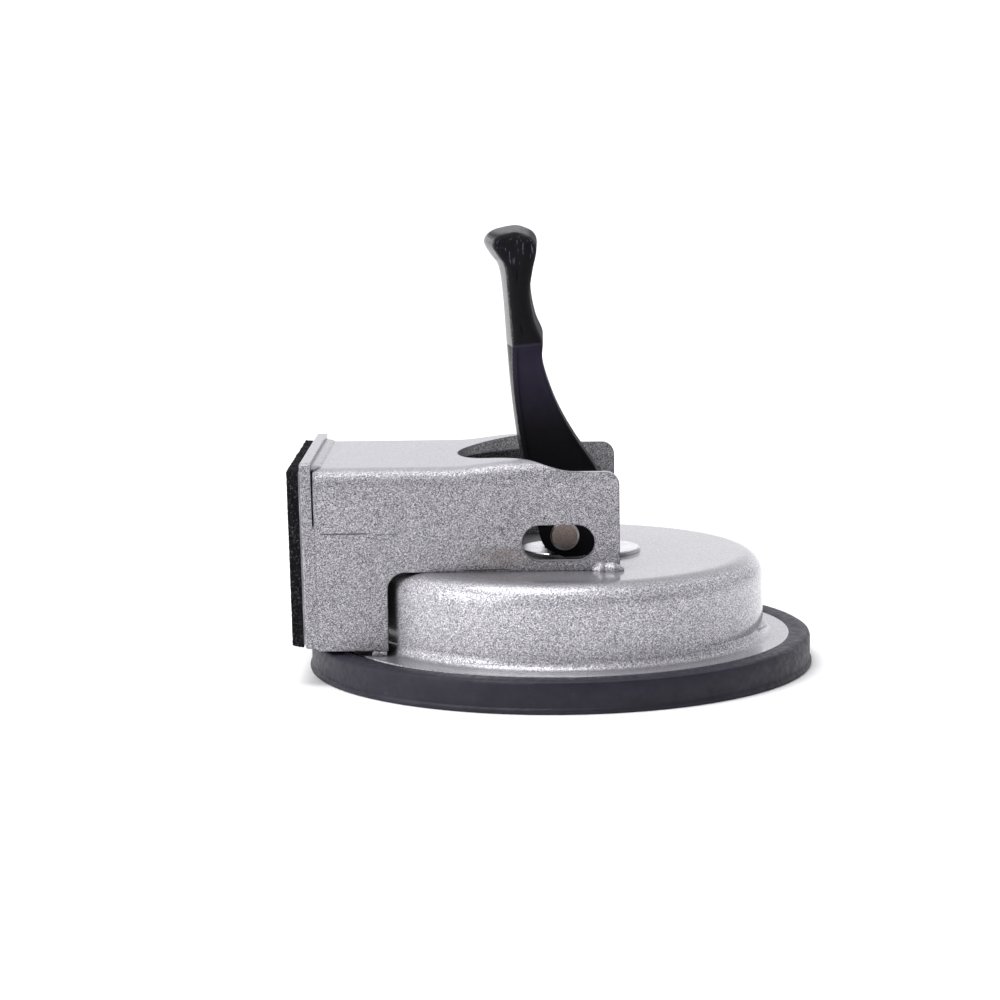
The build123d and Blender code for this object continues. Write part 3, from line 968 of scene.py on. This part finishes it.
def sky():
    """A pale surround: bright behind and above, dim on the camera's side, brighter on the left."""
    world = bpy.data.worlds.new("studio")
    world.use_nodes = True
    nodes, links = world.node_tree.nodes, world.node_tree.links
    direction = nodes.new("ShaderNodeTexCoord").outputs["Generated"]
    split = nodes.new("ShaderNodeSeparateXYZ")
    links.new(direction, split.inputs["Vector"])

    def graded(axis, start, end, low, high):
        node = nodes.new("ShaderNodeMapRange")
        links.new(split.outputs[axis], node.inputs["Value"])
        node.inputs["From Min"].default_value = start
        node.inputs["From Max"].default_value = end
        node.inputs["To Min"].default_value = low
        node.inputs["To Max"].default_value = high
        return node.outputs["Result"]

    def joined(kind, a, b):
        node = nodes.new("ShaderNodeMath")
        node.operation = kind
        links.new(a, node.inputs[0])
        links.new(b, node.inputs[1])
        return node.outputs["Value"]

    back = graded("Y", -0.35, 0.35, 0.22, 1.15)
    above = graded("Z", 0.25, 0.85, 0.0, 0.9)
    side = graded("X", -0.8, 0.8, 1.2, 0.72)
    front = joined("MULTIPLY", joined("MAXIMUM", back, above), side)
    # straight behind the object it stays white
    behind = graded("Y", 0.7, 0.9, 0.0, 1.2)
    background = nodes["Background"]
    background.inputs["Color"].default_value = (0.97, 0.965, 1.0, 1.0)
    links.new(joined("MAXIMUM", front, behind), background.inputs["Strength"])
    bpy.context.scene.world = world


def studio():
    """A white floor under the surround, a soft overhead sun and a soft light from the left."""
    sky()
    data = bpy.data.lights.new("overhead", "SUN")
    data.energy = 1.7
    data.angle = 0.7
    lamp = bpy.data.objects.new("overhead", data)
    lamp.rotation_euler = (math.radians(5), math.radians(-12), 0)
    bpy.context.scene.collection.objects.link(lamp)
    softbox("left_fill", (-0.75, -0.45, 0.40), (-0.005, 0, 0.03), width=0.6, height=0.6, power=4.0)

    floor_material = Shade("floor", Roughness=0.9, Specular_IOR_Level=0.1)
    tint = floor_material.noise(0.4, 1.0)
    floor_material.into("Base Color", floor_material.ramp(tint, (0.3, 0.93), (0.7, 0.95)))
    reach, level = 6.0, -0.02 * MM

    def build(bm):
        corners = ((-1, -1), (1, -1), (1, 1), (-1, 1))
        bm.faces.new([bm.verts.new((x * reach, y * reach, level)) for x, y in corners])

    floor = mesh_piece("floor", build, floor_material.material)


# =========================================================================== assembly ==
camera()
studio()

# copies of one silver paint: their tone and even are set per piece to how light or dark each piece
# shows, so the differences are partly painted light and shade
paint = silver_paint(
    "silver_paint", tone=0.66, even=0.28, reach=0.0, gloss=0.5, grain_height=0.55,
)
paint_dome = silver_paint(
    "silver_paint_dome", tone=1.02, even=0.165, reach=5 * MM, gloss=1.0, grain_height=0.30,
    extra=dome_gap_shadow,
)
paint_bracket = silver_paint(
    "silver_paint_bracket", tone=0.72, even=0.335, reach=3 * MM, gloss=0.4, grain_height=0.60,
    extra=bracket_marks,
)
plastic = black_plastic()
bright = metal("bright_plate", (0.76, 0.76, 0.78), 0.22, extra=plate_edges)
weld_paint = silver_paint(
    "silver_paint_weld", tone=0.90, even=0.36, reach=2 * MM, gloss=1.0, grain_height=0.25,
)
zinc = metal("zinc_steel", (0.70, 0.70, 0.72), 0.32)
pin_steel = metal("pin_steel", (0.33, 0.27, 0.245), 0.42, brown=0.2, extra=pin_end)
spring_steel = metal("spring_steel", (0.45, 0.45, 0.47), 0.30)

paint_node("housing", paint_dome)
paint_node("bracket", paint_bracket)
paint_node("end_plate", paint)
paint_node("adhesive_sheet", adhesive())
paint_node("wear_plate", bright)
paint_node("stud_disc", zinc)
paint_node("stud", zinc)
paint_node("pivot_pin", pin_steel)

rubber_cup(rubber())
return_spring(spring_steel)
cam_lever(plastic)
foam_pad(foam())
welds(paint, weld_paint)

bpy.context.scene.view_settings.view_transform = "Standard"
